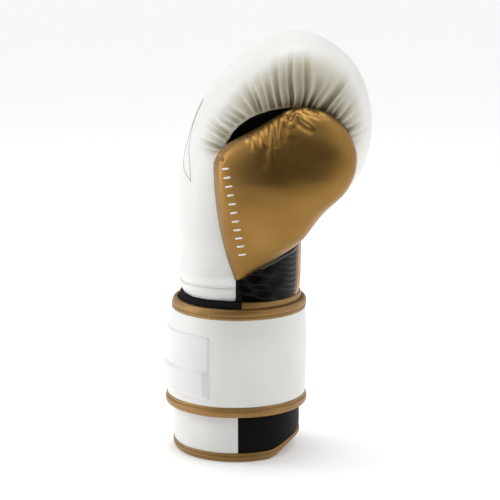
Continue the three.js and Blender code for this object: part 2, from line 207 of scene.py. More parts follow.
def from_bmesh(bm, name, material):
    """A smooth mesh object from a bmesh in millimetres, which is freed."""
    mesh = bpy.data.meshes.new(name)
    bm.to_mesh(mesh)
    bm.free()
    places = np.array([v.co for v in mesh.vertices])
    mesh.vertices.foreach_set("co", to_frame(places).astype(np.float32).ravel())
    mesh.polygons.foreach_set("use_smooth", [True] * len(mesh.polygons))
    mesh.materials.append(material)
    piece = bpy.data.objects.new(name, mesh)
    bpy.context.scene.collection.objects.link(piece)
    return piece


def thicken(piece, thickness, offset=-1):
    """Gives a surface its thickness: -1 inwards, 1 outwards, 0 to both sides."""
    solid = piece.modifiers.new("thickness", "SOLIDIFY")
    solid.thickness = thickness * MM
    solid.offset = offset


def round_grid(along, columns):
    """Grids of the given places along a form, and of angles once round it."""
    return np.meshgrid(along, np.linspace(0, 2 * np.pi, columns, endpoint=False), indexing="ij")


def grid_faces(rows, columns, close_rows=False, close_columns=False):
    faces = []
    for r in range(rows if close_rows else rows - 1):
        row, next_row = r * columns, (r + 1) % rows * columns
        for c in range(columns if close_columns else columns - 1):
            next_c = (c + 1) % columns
            faces.append((row + c, row + next_c, next_row + next_c, next_row + c))
    return faces


def tube_faces(rows, columns):
    """The faces of a stack of rings, closed at both ends."""
    last = (rows - 1) * columns
    ends = [tuple(range(columns)), tuple(range(last, last + columns))]
    return grid_faces(rows, columns, close_columns=True) + ends


def tidy(piece, merge=0.00002):
    """Merges doubled vertices and turns the faces outwards."""
    bm = bmesh.new()
    bm.from_mesh(piece.data)
    bmesh.ops.remove_doubles(bm, verts=bm.verts, dist=merge)
    bmesh.ops.recalc_face_normals(bm, faces=bm.faces)
    bm.to_mesh(piece.data)
    bm.free()
    return piece


def add_uv(piece, uv_of):
    """A UV layer in metres, from a function of the vertices' millimetre places."""
    mesh = piece.data
    places = np.array([v.co for v in mesh.vertices]) - WRIST_MIDDLE
    uv = uv_of(places / MM) * MM
    corners = np.empty(len(mesh.loops), int)
    mesh.loops.foreach_get("vertex_index", corners)
    layer = mesh.uv_layers.new(name="UVMap")
    layer.data.foreach_set("uv", uv[corners].astype(np.float32).ravel())


def wrist_uv(places):
    """Unrolled round the wrist."""
    around = np.arctan2(-places[:, 1] / 55, places[:, 0] / 45) * 50
    return np.stack([around, places[:, 2]], axis=1)


def rounded_profile(bottom, top, inner, outer, radius=1.0, crown=0.0, steps=10):
    """A closed outline (z, outside) of a slab: rounded edges, its outer face crowned."""
    heights = np.linspace(0, 1, steps)
    corner = np.linspace(0, np.pi / 2, 4)
    swell = crown * (1 - np.abs(2 * heights - 1) ** 2.6)
    outer_face = np.stack([bottom + radius + heights * (top - bottom - 2 * radius), outer + swell], axis=1)
    cos, sin = radius * np.cos(corner), radius * np.sin(corner)
    upper = np.stack([top - radius + sin, outer - radius + cos], axis=1)
    lower = np.stack([bottom + radius - cos, outer - radius + sin], axis=1)
    inner_face = np.array([[top, inner], [(top + bottom) / 2, inner], [bottom, inner]])
    return np.vstack([lower[:-1], outer_face, upper[1:], inner_face])


def binding_profile(bottom, top, inner, outer, groove_at):
    """A folded tape's outline: full round edges and a shallow stitched groove."""
    profile = rounded_profile(bottom, top, inner, outer, 1.3, 0.4, 22)
    near = np.exp(-((profile[:, 0] - groove_at) / 0.55) ** 2)
    profile[:, 1] -= np.where(profile[:, 1] > (inner + outer) / 2, 0.75 * near, 0)
    return profile


def wrap(name, profile, start, end, material, unevenness=None, step=1.5, lowered=None):
    """A closed band whose profile is carried round the wrist between two angles."""
    is_ring = end - start >= 360
    count = max(3, int(round((end - start) / step)) + (0 if is_ring else 1))
    angles = np.linspace(start, end, count, endpoint=not is_ring)
    degrees, heights = np.meshgrid(angles, profile[:, 0], indexing="ij")
    outside = np.broadcast_to(profile[:, 1], degrees.shape)
    if lowered is not None:
        heights = heights - lowered(degrees) * smoothstep(80, 112, heights)
    points = wrist(degrees, heights, outside)
    if unevenness is not None:
        points = wrist(degrees, heights, outside + unevenness(points))
    rows, columns = degrees.shape
    faces = grid_faces(rows, columns, True, True) if is_ring else tube_faces(rows, columns)
    piece = new_object(name, points.reshape(-1, 3), faces, material)
    tidy(piece)
    sharpen_ends(piece)
    add_uv(piece, wrist_uv)
    return piece


def sharpen_ends(piece):
    """Keeps a band's cut ends from rounding the shading beside them."""
    for face in piece.data.polygons:
        if len(face.vertices) > 4:
            face.use_smooth = False
            ring = set(face.edge_keys)
            for edge in piece.data.edges:
                if edge.key in ring:
                    edge.use_edge_sharp = True


def rings_round(middles, across, upright, radii, sides):
    """Rings of points round each of the middles, in the plane of its two directions."""
    turn = np.linspace(0, 2 * np.pi, sides, endpoint=False)
    cos, sin = np.cos(turn)[None, :, None], np.sin(turn)[None, :, None]
    rings = middles[:, None] + radii[:, None, None] * (cos * across[:, None] + sin * upright[:, None])
    return rings.reshape(-1, 3)


def tube(name, path, radius, material, sides=10):
    """A round cord along millimetre points, closed at both ends. Its radius may vary along it."""
    path = np.asarray(path, float)
    tangents = np.gradient(path, axis=0)
    tangents /= np.linalg.norm(tangents, axis=1, keepdims=True)
    reference = np.array([0.3, 1.0, 0.2])
    across = np.cross(tangents, reference)
    across /= np.linalg.norm(across, axis=1, keepdims=True)
    upright = np.cross(tangents, across)
    rings = rings_round(path, across, upright, np.broadcast_to(radius, len(path)), sides)
    return tidy(new_object(name, rings, tube_faces(len(path), sides), material))


def stitches(name, path, outwards, material, length=2.4, pitch=3.6, radius=0.32, lift=0.15):
    """One row of stitches: short capsules along a path, pressed into the surface at their ends."""
    path, outwards = np.asarray(path, float), np.asarray(outwards, float)
    walked = np.concatenate([[0], np.cumsum(np.linalg.norm(np.diff(path, axis=0), axis=1))])
    sides, rings, sunk = 6, 5, 0.1
    shares = np.linspace(-0.5, 0.5, rings)
    arch = np.sqrt(np.maximum(1 - (2 * shares) ** 2, 0.04))
    points, faces = [], []
    for centre in np.arange(pitch / 2, walked[-1], pitch):
        at = centre + shares * length
        middle = np.stack([np.interp(at, walked, path[:, k]) for k in range(3)], axis=1)
        normal = np.stack([np.interp(at, walked, outwards[:, k]) for k in range(3)], axis=1)
        normal /= np.linalg.norm(normal, axis=1, keepdims=True)
        along = middle[-1] - middle[0]
        along /= np.linalg.norm(along)
        first = len(points) * rings * sides
        raised = middle + normal * (lift * arch - sunk)[:, None]
        points.append(rings_round(raised, np.cross(along, normal), normal, radius * arch, sides))
        faces += [tuple(first + v for v in face) for face in tube_faces(rings, sides)]
    return tidy(new_object(name, np.vstack(points), faces, material), merge=1e-7)


def seat(piece, body, slot, *nodes):
    """Fixes a piece to its body, and hides the CAD nodes it stands for."""
    if nodes:
        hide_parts(*nodes)
    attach(piece, body)


# ------------------------------------------------------------------ materials

class Nodes:
    """Short names for building a node tree."""

    def __init__(self, tree):
        self.tree = tree

    def add(self, kind, **values):
        """A node of a kind. Each value is linked or given to the input of that name, or else is a setting."""
        node = self.tree.nodes.new("ShaderNode" + kind)
        for key, value in values.items():
            label = key.replace("_", " ")
            if isinstance(value, bpy.types.NodeSocket):
                self.link(value, node.inputs[label])
            elif label in node.inputs:
                node.inputs[label].default_value = value
            else:
                setattr(node, key, value)
        return node

    def link(self, start, end):
        self.tree.links.new(start, end)

    def place(self, use_uv=False):
        return self.add("TexCoord").outputs["UV" if use_uv else "Object"]

    def noise(self, place, scale, detail=3.0, roughness=0.55):
        node = self.add("TexNoise", Vector=place, Scale=scale, Detail=detail, Roughness=roughness)
        return node.outputs["Fac"]

    def cells(self, place, scale, randomness=1.0):
        node = self.add("TexVoronoi", feature="F1", Vector=place, Scale=scale, Randomness=randomness)
        return node.outputs["Distance"]

    def ramp(self, value, low, high, at=(0.0, 1.0)):
        node = self.add("ValToRGB", Fac=value)
        for element, position, colour in zip(node.color_ramp.elements, at, (low, high)):
            element.position = position
            element.color = (*colour, 1)
        return node.outputs["Color"]

    def between(self, value, low, high, start=0.0, until=1.0, **settings):
        """Low to high as value goes from start to until."""
        limits = {"From_Min": start, "From_Max": until, "To_Min": low, "To_Max": high}
        return self.add("MapRange", Value=value, **limits, **settings).outputs["Result"]

    def mixed(self, first, second, share, kind="FLOAT"):
        return self.add("Mix", data_type=kind, Factor=share, A=first, B=second).outputs["Result"]

    def bump(self, height, distance, strength=1.0, **under):
        """A bump, on top of the one given as Normal, if any."""
        node = self.add("Bump", Distance=distance, Strength=strength, Height=height, **under)
        return node.outputs["Normal"]


class Material(Nodes):
    """A new material's node tree."""

    def __init__(self, name):
        self.material = bpy.data.materials.new(name)
        self.material.use_nodes = True
        super().__init__(self.material.node_tree)

    def finish(self, colour=None, roughness=None, normal=None, **fixed):
        shader = self.tree.nodes["Principled BSDF"]
        for key, value in fixed.items():
            shader.inputs[key.replace("_", " ")].default_value = value
        for socket, label in ((colour, "Base Color"), (roughness, "Roughness"), (normal, "Normal")):
            if socket is not None:
                self.link(socket, shader.inputs[label])
        return self.material


def leather(name, dark, light, rough=(0.34, 0.5), metallic=0.0, grain=0.00005, painted_shade_colours=None, **fixed):
    """Coated leather: pebbled grain, fine creases, and faint clouding of colour and of gloss.

    Where the mesh's painted shade is above 0, its colour goes over to the pair of painted shade colours, a
    tint and a dark.
    """
    nodes = Material(name)
    place = nodes.place()
    clouds = nodes.noise(place, 28, 4)
    fine = nodes.mixed(nodes.cells(place, 1500), nodes.noise(place, 3200, 2), 0.4)
    normal = nodes.bump(fine, grain, 0.5)
    normal = nodes.bump(nodes.noise(place, 160, 5, 0.6), grain * 4, 0.25, Normal=normal)
    gloss = nodes.between(nodes.noise(place, 60, 4), *rough)
    colour = nodes.ramp(clouds, dark, light, (0.3, 0.7))
    if painted_shade_colours is not None:
        # Painted shade: the mesh's shade attribute turns the colour towards an olive tint and then a dark.
        shade = nodes.add("Attribute", attribute_name="shade").outputs["Fac"]
        painted_darkening = nodes.ramp(shade, *painted_shade_colours, (0.3, 1.0))
        colour = nodes.mixed(colour, painted_darkening, nodes.between(shade, 0.0, 1.0, until=0.4), kind="RGBA")
    return nodes.finish(colour, gloss, normal, Metallic=metallic, **fixed)


def cloth(name, dark, light, threads=1100, rough=(0.75, 0.95), depth=0.0002):
    """Plain woven cloth or thread: crossing threads and a little fluff."""
    nodes = Material(name)
    place = nodes.place()
    warp, weft = (
        nodes.add("TexWave", bands_direction=run, Scale=threads / 6.3, Distortion=0.4, Vector=place)
        for run in ("Z", "DIAGONAL")
    )
    weave = nodes.mixed(warp.outputs["Fac"], weft.outputs["Fac"], 0.5)
    fluff = nodes.noise(place, 900, 3)
    normal = nodes.bump(nodes.mixed(weave, fluff, 0.35), depth, 0.8)
    gloss = nodes.between(fluff, *rough)
    return nodes.finish(nodes.ramp(weave, dark, light), gloss, normal, Specular_IOR_Level=0.1)


def loop_pile(name):
    """The brushed loops that hook tape grips: a dense matt tangle."""
    nodes = Material(name)
    place = nodes.place()
    tangle = nodes.noise(place, 1400, 6, 0.75)
    height = nodes.mixed(tangle, nodes.cells(place, 900), 0.45)
    normal = nodes.bump(height, 0.0007, 0.9)
    body = nodes.ramp(height, (0.003, 0.003, 0.0033), (0.016, 0.016, 0.018), (0.25, 0.75))
    return nodes.finish(body, nodes.between(tangle, 0.8, 1.0), normal, Specular_IOR_Level=0.1)


def spacer_mesh(name, rough, specular, hole_depth):
    """Black mesh: a staggered grid of round holes in a satin knit, unrolled by its UVs."""
    nodes = Material(name)
    holes = nodes.cells(nodes.place(use_uv=True), 420, randomness=0.0)
    knit = nodes.noise(nodes.place(), 1600, 2)
    body = nodes.ramp(holes, (0.001, 0.001, 0.001), (0.005, 0.005, 0.0055), (0.28, 0.42))
    normal = nodes.bump(nodes.between(holes, 0.0, 1.0), hole_depth, 0.6)
    normal = nodes.bump(knit, 0.0001, 0.5, Normal=normal)
    return nodes.finish(body, nodes.between(knit, *rough), normal, Specular_IOR_Level=specular)


def foam(name, dark, light):
    """Matt foam of small cells, faintly clouded."""
    nodes = Material(name)
    place = nodes.place()
    cells = nodes.cells(place, 900)
    clouds = nodes.ramp(nodes.noise(place, 40, 4), dark, light)
    return nodes.finish(clouds, nodes.between(cells, 0.85, 1.0), nodes.bump(cells, 0.0003, 0.7))


def hook_material(name):
    """Rows of stiff black hooks, unrolled by its UVs."""
    nodes = Material(name)
    hooks = nodes.cells(nodes.place(use_uv=True), 700, randomness=0.25)
    body = nodes.ramp(hooks, (0.05, 0.05, 0.053), (0.008, 0.008, 0.009))
    return nodes.finish(body, nodes.between(hooks, 0.5, 0.9), nodes.bump(hooks, 0.0009, 1.0))


def print_ink(name, dark, light, rough):
    """Printed ink, a little worn."""
    nodes = Material(name)
    wear = nodes.noise(nodes.place(), 500, 4)
    body = nodes.ramp(wear, dark, light, (0.35, 0.6))
    return nodes.finish(body, nodes.between(wear, *rough), nodes.bump(wear, 0.00003, 0.5))


# The white leather's second pair of colours is painted shade for the gathers: an olive tint and a dark.
WHITE = leather(
    "white_leather", (0.785, 0.78, 0.745), (0.84, 0.84, 0.815), (0.38, 0.52),
    painted_shade_colours=((0.62, 0.575, 0.43), (0.12, 0.09, 0.04)), Coat_Weight=0.15, Coat_Roughness=0.35,
)
GOLD = leather("gold_leather", (0.25, 0.133, 0.031), (0.325, 0.182, 0.05), (0.3, 0.42), 0.93)
TAPE = leather("gold_binding", (0.26, 0.145, 0.04), (0.36, 0.207, 0.066), (0.38, 0.5), 0.6)
RUBBER = leather("white_rubber", (0.78, 0.78, 0.755), (0.83, 0.83, 0.81), (0.3, 0.4), grain=0.00002)
LINING = cloth("black_lining", (0.004, 0.004, 0.0045), (0.018, 0.018, 0.02))
LOOP = loop_pile("black_loop_cloth")
MESH = spacer_mesh("black_spacer_mesh", (0.45, 0.65), 0.07, 0.0005)
GUSSET_MESH = spacer_mesh("black_gusset_mesh", (0.24, 0.38), 0.08, 0.0002)
HOOKS = hook_material("black_hook_tape")
GOLD_THREAD = cloth("gold_thread", (0.25, 0.17, 0.08), (0.45, 0.32, 0.17), 4000, (0.4, 0.6), 0.00005)
SOFT_FOAM = foam("soft_foam", (0.6, 0.57, 0.47), (0.72, 0.69, 0.6))
DENSE_FOAM = foam("dense_foam", (0.4, 0.39, 0.35), (0.52, 0.5, 0.46))
PIPING = leather("black_piping", (0.006, 0.006, 0.007), (0.016, 0.016, 0.018), (0.22, 0.34))
WELT = leather("glossy_welt", (0.02, 0.016, 0.022), (0.05, 0.04, 0.055), (0.12, 0.22))
GREY_PRINT = print_ink("grey_print", (0.46, 0.46, 0.45), (0.58, 0.58, 0.57), (0.4, 0.6))
WHITE_PRINT = print_ink("white_print", (0.72, 0.72, 0.7), (0.85, 0.85, 0.83), (0.35, 0.5))

# ------------------------------------------------------------------ the hand shell and its neighbours

chance = np.random.default_rng(14)
PLEATS_IN_A_TURN = 66
CAP_ROWS = 6
LIP_STEPS = 3
PLEAT_EDGES = PLEATS_IN_A_TURN + 1
pleat_length = chance.uniform(0.72, 1.12, PLEAT_EDGES)
pleat_depth = chance.uniform(0.6, 1.1, PLEAT_EDGES) * chance.choice([1, 1, 1, 1.35], PLEAT_EDGES)
pleat_skew = chance.choice([0.55, 0.7, 1.0, 1.55], PLEAT_EDGES)
pleat_place = np.arange(PLEAT_EDGES) + chance.uniform(-0.18, 0.18, PLEAT_EDGES)


def mouth_reach(across, up):
    """How many times its way to the mouth's rim a direction's length is, seen from the thumb side."""
    half_length = np.where(across < 0, MOUTH["to_back"], MOUTH["to_front"])
    half_height = np.where(up < 0, MOUTH["to_palm"], MOUTH["to_crown"])
    power = MOUTH["power"]
    total = (np.abs(across) / half_length) ** power + (np.abs(up) / half_height) ** power
    return np.maximum(total ** (1 / power), 1e-3)


def mouth_polar(points):
    """(share of the way to the mouth's rim, millimetres outside it, angle) seen from the thumb side."""
    across = points[..., 0] - MOUTH["x"]
    up = points[..., 2] - MOUTH["z"]
    share = mouth_reach(across, up)
    return share, np.hypot(across, up) * (1 - 1 / share), np.arctan2(up, across)


def gathering(angle):
    """How far the gathers reach from the rim, in millimetres: furthest over the fist's crown."""
    from_crown = np.degrees(np.angle(np.exp(1j * (angle - math.radians(76)))))
    wide = np.where(from_crown < 0, 36.0, 34.0)
    return 15 + 22 * np.exp(-(from_crown / wide) ** 2)


def gathered_part(angle):
    """1 where the rim is gathered: from the thumb's upper corner, over the crown, to the fist's front."""
    at_back = smoothstep(0.08, 0.32, np.sin(angle))
    at_front = smoothstep(0.3, 0.62, np.sin(angle))
    return np.where(np.cos(angle) < 0, at_back, at_front)


def pleats(outside, angle):
    """Depth of the gathers: sharp ridges with rounded valleys between them, fading outwards."""
    place = (angle / (2 * np.pi) + 0.25) % 1 * PLEATS_IN_A_TURN
    place = place + 0.14 * np.sin(outside / 6 + 9 * angle)
    place = place + 0.012 * outside * (np.sin(7 * angle + 1) + 0.6 * np.sin(13 * angle))
    place = np.clip(place, 0, PLEATS_IN_A_TURN - 1e-6)
    index = np.clip(np.searchsorted(pleat_place, place, side="right") - 1, 0, PLEATS_IN_A_TURN - 1)
    start, end = pleat_place[index], pleat_place[index + 1]
    share = np.clip((place - start) / (end - start), 0, 1) ** pleat_skew[index]
    valley = np.sin(np.pi * share) ** 0.62
    length = gathering(angle) * pleat_length[index]
    fade = (1 - np.clip(outside / length, 0, 1) ** 1.7) * (0.5 + 0.5 * smoothstep(0, 3, outside))
    return -2.6 * pleat_depth[index] * valley * fade


def on_thumb_side(y):
    """1 on the hand's thumb side, where the mouth is, and 0 from near its middle on."""
    return smoothstep(-14, -36, y)


def gather_shade(points):
    """Painted shade: 0 on open leather, to 1 deep in the gathers, where the leather lies in shade."""
    _, outside, angle = mouth_polar(points)
    on_side = gathered_part(angle) * on_thumb_side(points[..., 1])
    outside = np.maximum(outside, 0)
    near = np.clip(1 - outside / (1.1 * gathering(angle)), 0, 1)
    deep = np.clip(-pleats(outside, angle) / 2.0, 0, 1)
    over_crown = np.exp(-(np.degrees(angle - math.radians(74)) / 52) ** 2)
    # Painted shade: an even wash over the crown's gathers, and more of it down in each pleat's valley.
    painted_crown_shade = 0.26 * over_crown * smoothstep(0, 0.3, near)
    return on_side * np.clip(painted_crown_shade + (0.5 + 0.28 * over_crown) * deep**1.3 * near**0.2, 0, 1)


def seam(distance, depth=0.9, width=1.1):
    return -depth * np.exp(-(distance / width) ** 2)


def shell_relief(points):
    """How far the leather of the hand stands out of its form, in millimetres."""
    x, y, z = points[..., 0], points[..., 1], points[..., 2]
    relief = SLOW(points) + QUICK(points)
    _, outside, angle = mouth_polar(points)
    gathered = gathered_part(angle) * on_thumb_side(y)
    outside = np.maximum(outside, 0)
    reach = gathering(angle) * 1.1
    roll = np.clip(1 - outside / reach, 0, 1) ** 2 * reach * 0.3 + 1.6 * np.exp(-outside / 1.8)
    relief = relief - gathered * roll + gathered * pleats(outside, angle)
    on_white = smoothstep(8, -6, x)
    below = z - (COLLAR_TOP + 1.4 + 0.8 * np.sin(x / 11))
    relief = relief + on_white * (seam(below, 2.2, 1.9) + 1.3 * np.exp(-((below - 6) / 4.5) ** 2))
    relief = relief + on_white * sum(seam(z - height, 0.5, 0.5) for height in COLLAR_STITCH_LINES)
    low = smoothstep(LIP_HEIGHT + 1, LIP_HEIGHT - 2, z)
    seams = seam(x - MESH_BACK) * (y < 0) + seam(y - PALM_SIDE) * (x > MESH_BACK)
    relief = relief + low * (seams + seam(x - PALM_BACK) * (y > PALM_SIDE))
    return relief + gusset_wrinkles(x, y, z)


def gusset_wrinkles(x, y, z):
    """Slack folds of the mesh between thumb and strap, dying out towards the palm."""
    on_gusset = smoothstep(-25, -30, y) * smoothstep(0, 3, x) * smoothstep(162, 150, z)
    slack = smoothstep(38, 14, x)
    folds = 1.2 * np.sin((z + 0.55 * x) / 1.5 + 1.6 * np.sin(x / 7 + 0.8)) + np.sin((z - 0.8 * x) / 2.6 + 2)
    ribs = np.sin((z - 0.25 * (46 - x)) / 0.62 + 0.8 * np.sin(x / 5))
    return on_gusset * (0.85 * slack * folds + 0.3 * (1 - slack) * ribs)


SLOW, QUICK = Waves(3, 70, 0.5), Waves(4, 22, 0.14)
COLLAR_STITCH_LINES = (118.6, 116.2)


def hand_point(t, angle):
    """The hand's form; past t = 1 it closes over its end under the fist."""
    points = form(HAND_STATIONS, np.minimum(t, 1), angle)
    turn = np.clip(t - 1, 0, 1)[..., None] * np.pi / 2
    middle = np.array([68.0, 1.0, 183.75])
    return middle + (points - middle) * np.cos(turn) + np.sin(turn) * (0, 0, -2.5)


def refined_parameters():
    """The hand form's (t, angle) grid, split finer round the mouth, with the mouth itself taken out."""
    rows, columns = 118, 150
    shares = np.concatenate([np.linspace(0, 1, rows), 1 + np.linspace(0, 1, CAP_ROWS + 1)[1:]])
    bm = bmesh.new()
    t, angle = np.meshgrid(shares, np.linspace(0, 2 * np.pi, columns + 1), indexing="ij")
    verts = [bm.verts.new((a, b, 0)) for a, b in zip(t.ravel(), angle.ravel())]
    for face in grid_faces(rows + CAP_ROWS, columns + 1):
        bm.faces.new([verts[v] for v in face])

    def places():
        parameters = np.array([v.co for v in bm.verts])
        return hand_point(parameters[:, 0], parameters[:, 1])

    def near_mouth(reach):
        points = places()
        share, outside, angle = mouth_polar(points)
        in_ring = (outside < reach * gathering(angle)) & (share > 0.93)
        return in_ring & (points[:, 1] < -12) & (np.sin(angle) > -0.55)

    def near_gusset():
        x, y, z = places().T
        return (x > -4) & (x < 52) & (y < -18) & (z < 166)

    def refine(chosen):
        bm.verts.index_update()
        edges = [e for e in bm.edges if chosen[e.verts[0].index] and chosen[e.verts[1].index]]
        bmesh.ops.subdivide_edges(bm, edges=edges, cuts=1, use_grid_fill=True)

    for _ in range(2):
        refine(near_gusset())
    for reach in (1.3, 1.15, 1.05):
        refine(near_mouth(reach))
    bm.verts.index_update()
    points = places()
    share, _, _ = mouth_polar(points)
    inside = (share < 1) & (points[:, 1] < 0)
    unwanted = [f for f in bm.faces if all(inside[v.index] for v in f.verts)]
    bmesh.ops.delete(bm, geom=unwanted, context="FACES")
    bmesh.ops.delete(bm, geom=[v for v in bm.verts if not v.link_faces], context="VERTS")
    return bm


def hand_surface():
    """A bmesh in millimetres of the hand's whole covering, its mouth open and the lip turned in."""
    bm = refined_parameters()
    parameters = np.array([v.co for v in bm.verts])
    t, angle = parameters[:, 0], parameters[:, 1]
    points = hand_point(t, angle)
    share, _, _ = mouth_polar(points)
    on_rim = (share < 1) & (points[:, 1] < 0)
    pull = np.where(on_rim, 1 / share, 1)
    normals = form_normals(HAND_STATIONS, np.minimum(t, 1), angle) * (t <= 1)[:, None]
    points[:, 0] = MOUTH["x"] + (points[:, 0] - MOUTH["x"]) * pull
    points[:, 2] = MOUTH["z"] + (points[:, 2] - MOUTH["z"]) * pull
    # Painted shade for the white leather, kept on each vertex as its shade attribute.
    shade = gather_shade(points)
    points = points + normals * shell_relief(points)[:, None]
    layer = bm.verts.layers.float.new("shade")
    for vert, place, at_rim, painted_darkening in zip(bm.verts, points, on_rim, shade):
        vert.co = place
        vert.tag = bool(at_rim)
        vert[layer] = painted_darkening
    turn_lip_in(bm)
    bmesh.ops.remove_doubles(bm, verts=bm.verts, dist=0.01)
    return bm


def turn_lip_in(bm):
    """Carries the leather's edge round into the mouth, out of sight behind the cloth."""
    rim = [e for e in bm.edges if e.is_boundary and e.verts[0].tag and e.verts[1].tag]
    for _ in range(LIP_STEPS):
        made = bmesh.ops.extrude_edge_only(bm, edges=rim)["geom"]
        rim = [g for g in made if isinstance(g, bmesh.types.BMEdge) and g.is_boundary]
        moved = {v for v in made if isinstance(v, bmesh.types.BMVert)}
        for vert in moved:
            away = Vector((vert.co.x - MOUTH["x"], 0, vert.co.z - MOUTH["z"])).normalized()
            vert.co += away * 0.9 + Vector((0, 2.3, 0))
        rim = [e for e in rim if e.verts[0] in moved and e.verts[1] in moved]


def split(bm, axis, place):
    """Cuts the faces along the plane where the axis with that number is at place."""
    normal = Vector((0, 0, 0))
    normal[axis] = 1
    geometry = bm.verts[:] + bm.edges[:] + bm.faces[:]
    bmesh.ops.bisect_plane(bm, geom=geometry, plane_co=normal * place, plane_no=normal, dist=1e-5)


def patch(source, name, material, keep, thickness=1.2):
    """The faces of the hand surface whose middle passes keep(x, y, z), as a piece of its own."""
    bm = source.copy()
    unwanted = [f for f in bm.faces if not keep(*f.calc_center_median())]
    bmesh.ops.delete(bm, geom=unwanted, context="FACES")
    bmesh.ops.recalc_face_normals(bm, faces=bm.faces)
    middle = Vector((20, 0, 180))

    def outward_area(face):
        away = face.calc_center_median() - middle
        return math.copysign(face.calc_area(), face.normal.dot(away))

    if sum(outward_area(face) for face in bm.faces) < 0:
        bmesh.ops.reverse_faces(bm, faces=bm.faces)
    piece = from_bmesh(bm, name, material)
    thicken(piece, thickness)
    return piece


def hand_coverings():
    """The hand's surface cut at its seams into white shell and collar, gold palm and mesh gusset."""
    surface = hand_surface()
    for axis, place in (
        (0, MESH_BACK), (0, PALM_BACK), (1, PALM_SIDE), (2, LIP_HEIGHT), (2, COLLAR_TOP), (0, PALM_FRONT),
    ):
        split(surface, axis, place)

    def in_palm(x, y, z):
        return z < LIP_HEIGHT and PALM_BACK < x < PALM_FRONT and y > PALM_SIDE

    def in_mesh(x, y, z):
        return z < LIP_HEIGHT and MESH_BACK < x < PALM_FRONT and y < PALM_SIDE

    def in_white(x, y, z):
        return not in_palm(x, y, z) and not in_mesh(x, y, z)

    def in_shell(x, y, z):
        return in_white(x, y, z) and z > COLLAR_TOP

    def in_collar(x, y, z):
        return in_white(x, y, z) and z < COLLAR_TOP

    pieces = [
        (patch(surface, name, material, keep), node, slot) for name, material, keep, node, slot in (
            ("hand_leather", WHITE, in_shell, "outer_shell", "white_leather"),
            ("collar_leather", WHITE, in_collar, "wrist_collar", "white_leather"),
            ("palm_leather", GOLD, in_palm, "palm_panel", "gold_leather"),
            ("palm_mesh", GUSSET_MESH, in_mesh, "palm_mesh_gusset", "black_mesh"),
        )
    ]
    surface.free()
    add_uv(bpy.data.objects["palm_mesh"], wrist_uv)
    for piece, node, slot in pieces:
        seat(piece, "hand", slot, node)


def mouth_cloth():
    """The black cloth bowl inside the mouth of the fist, flat along the palm's edge."""
    rings, columns, outermost = 26, 160, 1.06
    share, turn = round_grid(np.linspace(outermost, 0.0, rings), columns)
    cos, sin = np.cos(turn), np.sin(turn)
    reach = share / mouth_reach(cos, sin)
    bowl = 10 * np.sqrt(1 - share / outermost)
    gathers = 0.5 * np.sin(14 * turn + 3 * share) * share
    y = -45 + 5 * np.abs(cos) ** 3 + bowl + gathers
    points = np.stack([MOUTH["x"] + reach * cos, y, MOUTH["z"] + reach * sin], axis=-1).reshape(-1, 3)
    piece = tidy(new_object("mouth_cloth", points, grid_faces(rings, columns, close_columns=True), LINING))
    thicken(piece, 0.8)
    seat(piece, "hand", "black_fabric", "mouth_gusset")


def marks_on_back():
    """A plain outlined stripe down each side of the back of the hand, printed in grey."""
    near_edge = [
        (0.268, -143), (0.295, -150), (0.316, -160), (0.339, -168), (0.362, -172.5), (0.39, -174.5),
    ]
    far_edge = [
        (0.392, -175.2), (0.356, -176.5), (0.325, -176.5), (0.299, -173), (0.282, -163), (0.268, -143),
    ]
    for side, name in ((1, "near"), (-1, "far")):
        outline = spline(near_edge + far_edge, np.linspace(0, 1, 150))
        t, angle = outline[:, 0], np.radians(outline[:, 1]) * side
        points = form(HAND_STATIONS, t, angle)
        points = points + form_normals(HAND_STATIONS, t, angle) * (shell_relief(points) + 0.05)[:, None]
        seat(tube(f"back_stripe_{name}", points, 0.3, GREY_PRINT, 6), "hand", "white_leather")


# ------------------------------------------------------------------ the thumb

def groove(points, start, end, width, depth, side):
    """Relief of one crease (depth below 0) or ridge along a line seen from the thumb side."""
    start, end = np.array(start, float), np.array(end, float)
    flat = points[..., [0, 2]]
    along = end - start
    length = np.linalg.norm(along)
    walked = ((flat - start) @ along) / length**2
    nearest = start + np.clip(walked, 0, 1)[..., None] * along
    away = np.linalg.norm(flat - nearest, axis=-1)
    fade = smoothstep(-0.25, 0.15, walked) * (1 - smoothstep(0.55, 1.25, walked))
    return depth * np.exp(-(away / width) ** 2) * fade * side


# Creases where the thumb's leather is drawn into the fist: (start, end, width, height), seen from the side.
THUMB_CREASES = [
    ((33, 242.5), (35.4, 235.6), 1.1, 1.3), ((35.4, 235.6), (38.4, 236.2), 1.0, 1.1),
    ((38.4, 236.2), (41, 242.5), 1.1, 1.3), ((36.9, 243), (36.9, 239), 1.3, -1.7),
    ((41, 242.5), (52.5, 234.8), 1.2, 1.2), ((41.5, 238.6), (51, 231.8), 1.9, -1.3),
    ((16.5, 232.5), (19.5, 221), 1.5, 1.0), ((20.6, 234.5), (22, 221), 1.5, -1.5),
    ((24, 236.5), (24.8, 224), 1.4, 1.1), ((27.4, 238), (27.2, 223), 1.6, -1.5),
    ((30.6, 240), (30.2, 229), 1.3, 1.3), ((33, 237), (32.4, 226), 1.5, -1.4),
    ((8.3, 229), (11, 220), 1.2, -1.0), ((10.8, 229.5), (13.6, 221), 1.4, 0.7),
    ((13.8, 231), (16, 222), 1.5, -0.9), ((19, 222), (20, 208), 3.2, -0.9),
    ((27.5, 225), (29, 209), 3.2, -0.8), ((36, 228), (38.5, 213), 3.4, -0.7),
    ((24, 224), (25, 213), 2.4, 0.5), ((46, 245), (57, 240), 1.3, -0.7),
    ((52, 246), (62, 240), 1.3, -0.5), ((-13, 216.5), (-9, 213), 1.1, -1.6),
]


